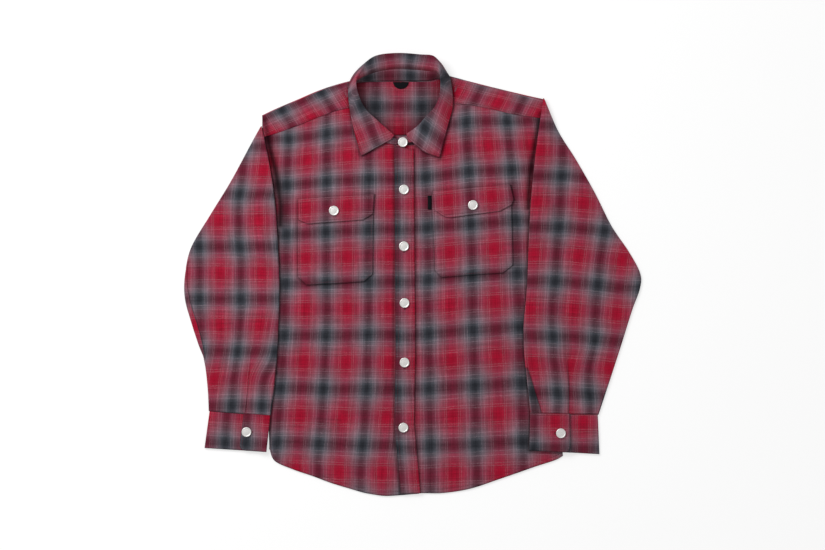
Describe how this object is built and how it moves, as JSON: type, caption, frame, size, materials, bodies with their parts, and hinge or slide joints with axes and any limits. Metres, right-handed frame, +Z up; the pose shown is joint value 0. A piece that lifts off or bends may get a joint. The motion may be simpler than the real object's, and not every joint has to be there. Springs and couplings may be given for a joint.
{
  "type": "long-sleeved flannel shirt",
  "caption": "Plaid flannel overshirt with collar, flap pockets, buttoned cuffs and placket, laid flat on its back with the sleeves folded down.",
  "frame": {"origin": "middle of the laid-out shirt's outline, on the surface that it lies on", "axes": "+Z up out of the surface, +Y from hem to collar, +X towards the wearer's left sleeve"},
  "size_m": [0.8211, 0.7954, 0.0296],
  "materials": {
    "flannel": "brushed twill, red, charcoal and grey shadow check",
    "label_tape": "woven black tape, bare",
    "button_metal": "bare silvery metal, satin"
  },
  "bodies": {
    "root": {"back": "flannel", "yoke_outer": "flannel", "yoke_inner": "flannel", "front_right": "flannel", "front_left": "flannel", "placket_band": "flannel", "collar_stand": "flannel", "collar_leaf": "flannel", "sleeve_right": "flannel", "sleeve_left": "flannel", "cuff_right": "flannel", "cuff_left": "flannel", "pocket_right": "flannel", "pocket_left": "flannel", "flap_right": "flannel", "flap_left": "flannel", "side_tab": "label_tape", "neck_label": "label_tape", "button_front_1": "button_metal", "button_front_2": "button_metal", "button_front_3": "button_metal", "button_front_4": "button_metal", "button_front_5": "button_metal", "button_front_6": "button_metal", "button_flap_right": "button_metal", "button_flap_left": "button_metal", "button_cuff_right": "button_metal", "button_cuff_left": "button_metal"}
  },
  "joints": []
}
